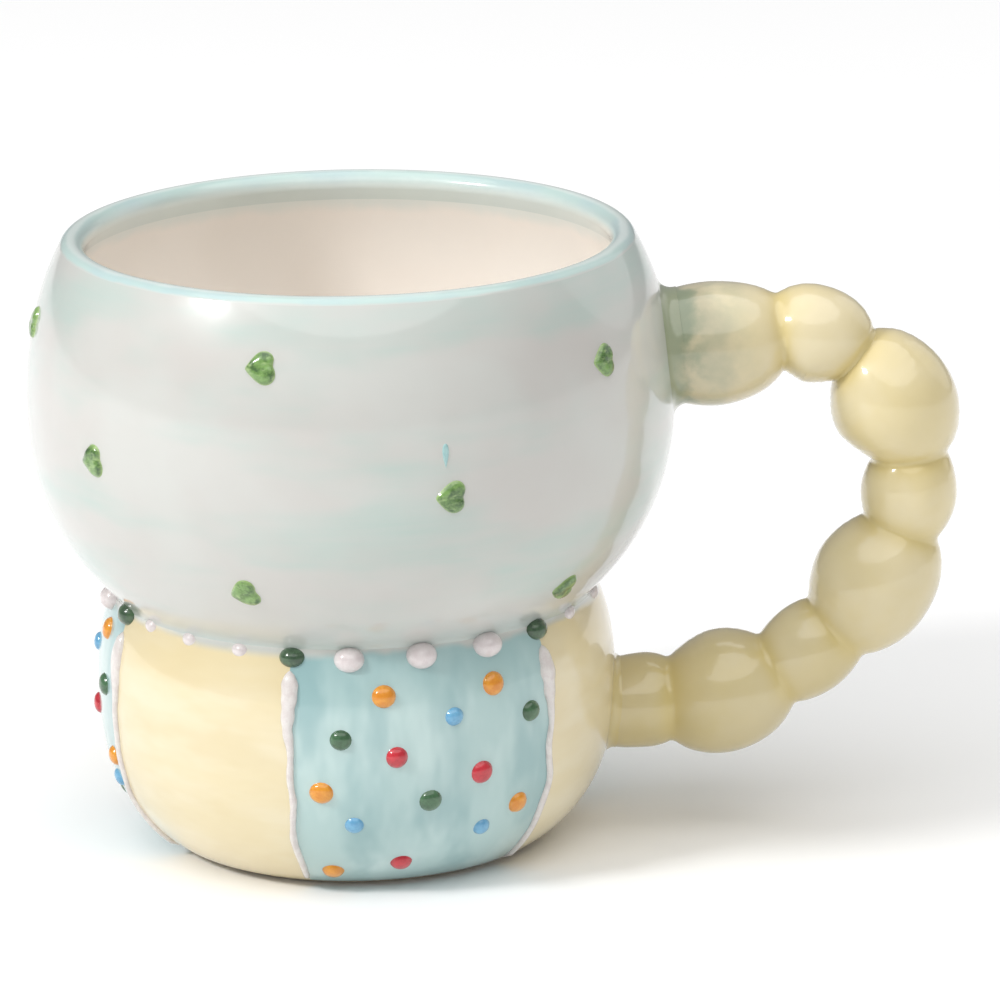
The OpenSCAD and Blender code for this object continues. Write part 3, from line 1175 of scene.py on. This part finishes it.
@dataclass
class SlipDots(MugPart):
    """Raised dots of coloured slip on the aqua panels."""

    base: PaintedBase
    radius: float = 1.62 * MM
    height: float = 0.9 * MM
    sizes: Point = (0.93, 1.07)
    stretches: Point = (0.95, 1.05)
    places: dict[str, tuple[tuple[Point, ...], ...]] = field(default_factory=lambda: {
        "front": (
            ((-10, 33.5), (15.5, 33.5), (-24, 18.5), (22.5, 13.5), (-23, 4)),
            ((5.5, 29.5), (-17, 13), (13.5, 10.5)),
            ((-19.5, 27), (25, 28), (0, 16.5)),
            ((-7.5, 24), (12, 20), (-5.5, 5.5)),
        ),
        "rear": (
            ((-20, 33), (12, 34), (24, 19), (-9, 11), (19, 5)),
            ((-3, 28), (23, 11), (-22, 18)),
            ((22, 27), (-24, 26), (5, 15)),
            ((8, 22.5), (-12, 20.5), (3, 5)),
        ),
        "left": (
            ((21, 36), (-16, 34), (26, 16.5), (-5, 14), (-24, 9)),
            ((11, 32), (24, 12.5), (-20, 20)),
            ((23, 27.5), (-6, 28), (9, 8)),
            ((11, 22), (-12, 26), (-14, 5.5)),
        ),
    })
    panel_of: dict[str, int] = field(default_factory=lambda: {"front": 1, "rear": 3, "left": 5})
    size_of: dict[str, float] = field(default_factory=lambda: {"blue": 0.86})

    def build(self) -> None:
        """Builds the dots, one piece for each colour on each panel."""
        colours = (
            ("orange", srgb(232, 158, 48), srgb(212, 124, 28), Slot.ORANGE_SLIP),
            ("blue", srgb(118, 178, 212), srgb(84, 148, 192), Slot.BLUE_SLIP),
            ("green", srgb(72, 112, 76), srgb(42, 76, 48), Slot.GREEN_SLIP),
            ("red", srgb(206, 48, 60), srgb(164, 26, 42), Slot.RED_SLIP),
        )
        clouds = Clouds(0.0016, 5.0, 0.3)
        slips = [
            SlipPaint(f"{name} dot slip", body=body, deep=deep, clouds=clouds).material(self.effects)
            for name, body, deep, _ in colours
        ]
        for side, by_colour in self.places.items():
            middle = self.base.middle(self.panel_of[side])
            for (name, _, _, slot), slip, places in zip(colours, slips, by_colour):
                mesh = bmesh.new()
                for turn, z in places:
                    self.dot(mesh, math.radians(middle + turn), z * MM, self.size_of.get(name, 1.0))
                finished(f"{side}_{name}_slip", mesh, slip, f"{side}_{name}_dots")

    def dot(self, mesh: BMesh, turn: float, z: float, share: float) -> None:
        """Adds one dome of slip with a soft foot.

        Args:
            mesh: The mesh that gets it.
            turn: Its turn, in radians.
            z: Its height.
            share: Its size against a full dot.
        """
        dice = random.Random(round(turn * 1000) + round(z * 1e6))
        size = share * dice.uniform(*self.sizes)
        stops = (
            (-0.15, 0.98), (0.0, 1.06), (0.1, 1.0), (0.32, 0.95), (0.58, 0.82), (0.8, 0.62), (0.94, 0.37),
            (1.0, 0.12),
        )
        stations = [
            Matrix.Translation((0, 0, rise * self.height * share))
            @ Matrix.Diagonal((self.radius * size * wide, self.radius * size * wide, 1.0, 1.0))
            for rise, wide in stops
        ]
        rings = lofted(mesh, stations, 20)
        stretch = dice.uniform(*self.stretches)
        verts = [vert for ring in rings for vert in ring]
        for vert in verts:
            vert.co.x *= stretch
        self.outline.lay(verts, turn, z)


@dataclass
class Hearts(MugPart):
    """Raised green hearts on the bowl, lying on their sides."""

    width: float = 4.9 * MM
    depth: float = 4.7 * MM
    height: float = 0.7 * MM
    plump: float = 0.5
    uneven_lobes: float = 0.1
    lumpy: float = 0.22
    grooved: float = 0.15
    rim_share: float = 0.55
    places: tuple[tuple[float, float, float], ...] = (
        (-83, 84, 4), (-16, 86.5, 9), (51, 82.5, -4), (126, 84.5, -12), (200, 86, 10),
        (-51, 69, 12), (17, 66.5, -3), (97, 59.5, 6), (155, 67, -8), (232, 68.5, 5),
        (-21, 51, 14), (47, 47, 2), (120, 49, -6), (192, 51.5, 11), (256, 50, -9),
    )

    def build(self) -> None:
        """Builds the fifteen hearts."""
        slip = HeartSlip("leaf green slip").material(self.effects)
        for k, (turn, z, tilt) in enumerate(self.places, start=1):
            mesh = bmesh.new()
            self.heart(mesh, k, math.radians(tilt))
            self.outline.lay(list(mesh.verts), math.radians(turn), z * MM)
            finished(f"slip_heart_{k:02d}", mesh, slip, f"heart_{k:02d}")

    def edge(self, t: float) -> Vector:
        """Outline of a heart of width and depth 1, notch up, its tip at t = pi."""
        x = math.sin(t) ** 3
        y = (13 * math.cos(t) - 5 * math.cos(2 * t) - 2 * math.cos(3 * t) - math.cos(4 * t)) / 29 + 0.08
        plump = self.plump
        return Vector((
            (x * (1 - plump) + math.sin(t) * plump) / 2,
            y * (1 - plump) + math.cos(t) * plump / 2,
        ))

    def heart(self, mesh: BMesh, seed: int, tilt: float) -> None:
        """Adds a flat heart: a low dome with a groove that runs in from the notch."""
        stops = (
            (-0.15, 0.98), (0.0, 1.04), (0.12, 1.0), (0.42, 0.955), (0.68, 0.86), (0.86, 0.72),
            (0.95, 0.56), (0.98, 0.4), (0.97, 0.24), (0.96, 0.1),
        )
        rim = mesh.verts.layers.float.new("rim")
        rings = lofted(mesh, [level(share) for share, _ in stops], 48)
        facing = Matrix.Rotation(tilt - math.pi / 2, 2)
        dice = random.Random(seed)
        lobes = dice.uniform(-self.uneven_lobes, self.uneven_lobes)
        for ring, (share, wide) in zip(rings, stops):
            for vert in ring:
                t = math.atan2(vert.co.x, vert.co.y)
                flat = self.edge(t) * wide
                flat.x *= 1.0 + lobes * math.copysign(1.0, flat.x) * min(abs(flat.x) * 4, 1.0)
                groove = math.exp(-((flat.x / 0.1) ** 2)) * max(min((flat.y + 0.12) / 0.3, 1.0), 0.0)
                lump = 1.0 + self.lumpy * noise.noise(Vector((flat.x * 4, flat.y * 4, seed * 5.1)))
                rise = share * self.height * (lump - self.grooved * groove if share > 0 else 1.0)
                laid = facing @ Vector((flat.x * self.width, flat.y * self.depth))
                vert.co = (laid.x, laid.y, rise)
                vert[rim] = max(0.0, 1.0 - share / self.rim_share)


@dataclass
class DropMark(MugPart):
    """The one small drop of grey-green on the front of the bowl, its tip down."""

    turn: float = 16.0
    z: float = 73 * MM
    width: float = 1.35 * MM
    length: float = 3.7 * MM
    height: float = 0.14 * MM
    pointed: float = 1.2

    def build(self) -> None:
        """Builds the drop."""
        stops = ((-0.6, 0.98), (0.0, 1.0), (0.5, 0.94), (0.85, 0.78), (1.0, 0.45), (1.0, 0.1))
        mesh = bmesh.new()
        rings = lofted(mesh, [level(share) for share, _ in stops], 32)
        for ring, (share, wide) in zip(rings, stops):
            for vert in ring:
                t = math.atan2(vert.co.x, -vert.co.y)
                swollen = math.sin(t) * abs(math.sin(t / 2)) ** self.pointed
                x, y = swollen * wide * self.width / 2, -math.cos(t) * wide * self.length / 2
                vert.co = (x, y, share * self.height)
        self.outline.lay(list(mesh.verts), math.radians(self.turn), self.z)
        slip = SlipPaint(
            "grey green drop",
            body=srgb(150, 190, 190), deep=srgb(172, 208, 206), clouds=Clouds(0.001, 5.0, 0.3),
        )
        finished("drop_of_glaze", mesh, slip.material(self.effects), "glaze_drop")


@dataclass(frozen=True)
class Bubble:
    """One bubble, in millimetres: its centre, its radius and its reach along the loop."""

    x: float
    z: float
    radius: float
    reach: float


@dataclass
class BubbleHandle(MugPart):
    """The cast loop of eight fused bubbles and the slip that joins it to the wall.

    The loop's centre line is in millimetres, and so are its roots, its creases and its rings.
    """

    bubbles: tuple[Bubble, ...] = (
        Bubble(56.1, 77.2, 9.65, 12.8),
        Bubble(71.9, 78.3, 7.6, 8.8),
        Bubble(83.7, 67.5, 9.8, 11.2),
        Bubble(86.2, 52.9, 7.45, 9.55),
        Bubble(80.8, 38.6, 9.65, 12.3),
        Bubble(70.6, 27.7, 7.35, 10.1),
        Bubble(57.3, 21.2, 9.7, 11.3),
        Bubble(44.9, 19.9, 7.45, 7.9),
    )
    upper_root: Point = (46.9, 77.2)
    lower_root: Point = (36.8, 19.6)
    wall_stretch: tuple[float, float] = (1.15, 1.9)
    crease_round: float = 0.9
    ring_gap: float = 0.45
    path_steps: int = 24
    segments: int = 64
    collar_segments: int = 72
    buried: float = 0.4 * MM
    upper_fillet: float = 2.4 * MM
    lower_fillet: float = 1.5 * MM
    lump: float = 0.16 * MM
    lump_size: float = 7 * MM
    crease_width: float = 1.7
    joint_pool: float = 0.6
    joint_blot: float = 0.8
    path: list[Vector] = field(default_factory=list)
    lengths: list[float] = field(default_factory=list)
    centres: list[float] = field(default_factory=list)

    def __post_init__(self) -> None:
        """Draws the smooth centre line from root to root, in millimetres."""
        inner = [Vector((b.x, 0.0, b.z)) for b in self.bubbles]
        start, end = (Vector((x, 0.0, z)) for x, z in (self.upper_root, self.lower_root))
        knots = [start * 2 - inner[0], start, *inner, end, end * 2 - inner[-1]]
        steps = self.path_steps
        for before, a, b, after in zip(knots, knots[1:], knots[2:], knots[3:]):
            for t in (k / steps for k in range(steps)):
                self.path.append(
                    ((2 * a) + (b - before) * t + (2 * before - 5 * a + 4 * b - after) * t**2
                     + (3 * a - before - 3 * b + after) * t**3) / 2
                )
        self.path.append(end)
        self.lengths.append(0.0)
        for a, b in pairwise(self.path):
            self.lengths.append(self.lengths[-1] + (b - a).length)
        self.centres = [self.lengths[steps * (i + 1)] for i in range(len(self.bubbles))]

    def at(self, s: float) -> tuple[Vector, Vector]:
        """Point and direction of the centre line, a way along it in millimetres."""
        i = max(1, next((k for k, d in enumerate(self.lengths) if d >= s), len(self.path) - 1))
        a, b = self.path[i - 1], self.path[i]
        share = (s - self.lengths[i - 1]) / (self.lengths[i] - self.lengths[i - 1])
        return a.lerp(b, share), (b - a).normalized()

    def radius(self, s: float) -> float:
        """Radius of the handle a way along its centre line, in millimetres."""
        result = 0.0
        last = len(self.bubbles) - 1
        for i, (bubble, middle) in enumerate(zip(self.bubbles, self.centres)):
            reach = bubble.reach
            if i == 0 and s < middle:
                reach *= self.wall_stretch[0]
            if i == last and s > middle:
                reach *= self.wall_stretch[1]
            way = abs(s - middle) / reach
            swollen = bubble.radius * math.sqrt(max(1.0 - way * way, 0.0))
            result = soft_max(result, swollen, self.crease_round)
        return result

    def build(self) -> None:
        """Builds the loop and both collars of slip."""
        glaze = HandleGlaze("butter handle glaze").material(self.effects)
        joint = HandleGlaze("joint glaze", blot=self.joint_blot).material(self.effects)
        mesh = bmesh.new()
        crease_shade_weight = mesh.verts.layers.float.new("crease_shade_weight")
        count = round(self.lengths[-1] / self.ring_gap)
        ways = spaced(0.0, self.lengths[-1], count)
        stations = []
        for s in ways:
            centre, direction = self.at(s)
            across = Vector((0, 1, 0))
            width = self.radius(s) * MM
            stations.append(ring_place(centre * MM, across, direction.cross(across), width, width))
        rings = lofted(mesh, stations, self.segments)
        # How much painted shade each ring takes: most in the creases between bubbles
        creases = [self.crease_between(a, b) for a, b in pairwise(self.centres)]
        for ring, s in zip(rings, ways):
            near = min(abs(s - crease) for crease in creases)
            for vert in ring:
                vert[crease_shade_weight] = math.exp(-((near / self.crease_width) ** 2))
        mesh.normal_update()
        for vert in mesh.verts:
            vert.co += vert.normal * self.lump * noise.noise(vert.co / self.lump_size)
        finished("bubble_loop", mesh, glaze, "handle")
        self.collar("upper_slip_collar", self.upper_root, True, self.upper_fillet, joint, "upper_luting")
        self.collar("lower_slip_collar", self.lower_root, False, self.lower_fillet, joint, "lower_luting")

    def crease_between(self, a: float, b: float) -> float:
        """Way along the loop of its narrowest point between two bubbles."""
        return min(spaced(a, b, 60), key=self.radius)

    def collar(
        self, name: str, root: Point, upper: bool, fillet: float, glaze: Material, node: str
    ) -> None:
        """Builds a hollow fillet of slip round one root of the handle.

        Args:
            name: The piece's name.
            root: Distance from the axis and height of the root, in millimetres.
            upper: Whether it is the root where the loop starts.
            fillet: Size of the fillet, in metres.
            glaze: Its finish.
            node: The CAD node that it replaces.
        """
        buried = self.buried
        arc = [
            (fillet * (1 - math.sin(a)), fillet * (1 - math.cos(a))) for a in spaced(0.0, math.pi / 2, 8)
        ]
        section = [(fillet, -buried)] + arc + [(-buried, fillet), (-buried, -buried)]

        def girth(x: float) -> float:
            """Radius of the handle at a distance from the axis, near this root."""
            way = x / MM - root[0]
            return self.radius(way if upper else self.lengths[-1] - way) * MM

        mesh = bmesh.new()
        stations = [level(k) for k in range(len(section))]
        rings = lofted(mesh, stations, self.collar_segments, ring_joined=True)
        for ring, (off_wall, off_handle) in zip(rings, section):
            for vert in ring:
                around = math.atan2(vert.co.y, vert.co.x)
                x = (root[0] + 2) * MM
                for _ in range(5):
                    out = girth(x) + off_handle
                    y, z = out * math.sin(around), root[1] * MM + out * math.cos(around)
                    wall = math.sqrt(self.outline.outer(z) ** 2 - y * y)
                    x = wall + self.outline.drift(math.atan2(wall, -y), z) + off_wall
                vert.co = (x, y, z)
        # The collars sit where handle meets wall, so they take painted shade too
        crease_shade_weight = mesh.verts.layers.float.new("crease_shade_weight")
        for vert in mesh.verts:
            vert[crease_shade_weight] = self.joint_pool
        finished(name, mesh, glaze, node)


# ---------------------------------------------------------------- the studio


@dataclass(frozen=True)
class Lamp:
    """One soft box, aimed at the mug."""

    name: str
    turn: float
    lift: float
    distance: float
    width: float
    height: float
    power: float


@dataclass
class Studio:
    """A pale floor, soft light and the camera."""

    aim: Vector = field(default_factory=lambda: Vector((0.022738, 0.0, 0.052758)))
    pivot_height: float = 0.047
    camera_distance: float = 1.033755
    camera_lift: float = math.radians(15.846)
    camera_roll: float = math.radians(0.829)
    lens: float = 239.8
    sensor: float = 36.0
    floor_size: float = 4.0
    ambient: float = 0.3
    lamps: tuple[Lamp, ...] = (
        Lamp("key", -63, 36, 1.3, 0.3, 0.14, 8.2),
        Lamp("top", 0, 74, 5.0, 9.0, 9.0, 280.0),
        Lamp("rim", 122, 26, 1.3, 1.1, 1.1, 1.4),
    )

    def build(self) -> None:
        """Builds the floor, the lamps, the surrounding light and the camera."""
        self.floor()
        for lamp in self.lamps:
            self.lamp(lamp)
        self.surroundings()
        self.camera()

    def floor(self) -> None:
        """Builds the floor, white with the faintest clouding."""
        mesh = bmesh.new()
        bmesh.ops.create_grid(mesh, x_segments=8, y_segments=8, size=self.floor_size / 2)
        data = bpy.data.meshes.new("floor")
        mesh.to_mesh(data)
        mesh.free()
        material = bpy.data.materials.new("floor paper")
        material.use_nodes = True
        bench = Bench(material.node_tree)
        place = bench.add("TexCoord").outputs["Object"]
        cloud = bench.add("TexNoise", {"Vector": place, "Scale": 2.0}).outputs[0]
        colour = bench.mixed(cloud, srgb(252, 252, 252), srgb(250, 250, 250))
        paper = {"Base Color": colour, "Roughness": 0.9, "Specular IOR Level": 0.1}
        shader = bench.add("BsdfPrincipled", paper)
        bench.add("OutputMaterial", {"Surface": shader.outputs[0]})
        data.materials.append(material)
        floor = bpy.data.objects.new("floor", data)
        bpy.context.scene.collection.objects.link(floor)

    def lamp(self, lamp: Lamp) -> None:
        """Hangs one soft box."""
        light = bpy.data.lights.new(lamp.name, "AREA")
        light.shape = "ELLIPSE"
        light.size, light.size_y = lamp.width, lamp.height
        light.energy = lamp.power
        turn, lift = math.radians(lamp.turn), math.radians(lamp.lift)
        away = Vector((math.sin(turn) * math.cos(lift), -math.cos(turn) * math.cos(lift), math.sin(lift)))
        box = bpy.data.objects.new(lamp.name, light)
        box.location = self.aim + away * lamp.distance
        box.rotation_euler = away.to_track_quat("Z", "Y").to_euler()
        bpy.context.scene.collection.objects.link(box)

    def surroundings(self) -> None:
        """Lights the scene evenly from all round."""
        world = bpy.data.worlds.new("studio")
        world.use_nodes = True
        background = world.node_tree.nodes["Background"]
        background.inputs["Color"].default_value = srgb(255, 255, 255)
        background.inputs["Strength"].default_value = self.ambient
        bpy.context.scene.world = world
        bpy.context.scene.view_settings.view_transform = "Standard"

    def camera(self) -> None:
        """Sets the camera."""
        back = self.camera_distance * math.cos(self.camera_lift)
        eye = Vector((0.0, -back, self.pivot_height + self.camera_distance * math.sin(self.camera_lift)))
        data = bpy.data.cameras.new("camera")
        data.lens = self.lens
        data.sensor_width = self.sensor
        forward = (self.aim - eye).normalized()
        right = forward.cross(Vector((0, 0, 1))).normalized()
        up = right.cross(forward)
        cosine, sine = math.cos(self.camera_roll), math.sin(self.camera_roll)
        axes = Matrix((right * cosine - up * sine, right * sine + up * cosine, -forward)).transposed()
        camera = bpy.data.objects.new("camera", data)
        camera.matrix_world = Matrix.Translation(eye) @ axes.to_4x4()
        bpy.context.scene.collection.objects.link(camera)
        bpy.context.scene.camera = camera


def main() -> None:
    """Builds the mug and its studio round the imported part."""
    logging.basicConfig(level=logging.INFO, format="%(name)s: %(message)s")
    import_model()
    outline, effects = Outline(), Effects()
    base = PaintedBase(outline, effects)
    Vessel(outline, effects).build()
    base.build()
    SlipDots(outline, effects, base).build()
    Hearts(outline, effects).build()
    DropMark(outline, effects).build()
    BubbleHandle(outline, effects).build()
    Studio().build()


if __name__ == "__main__":
    main()
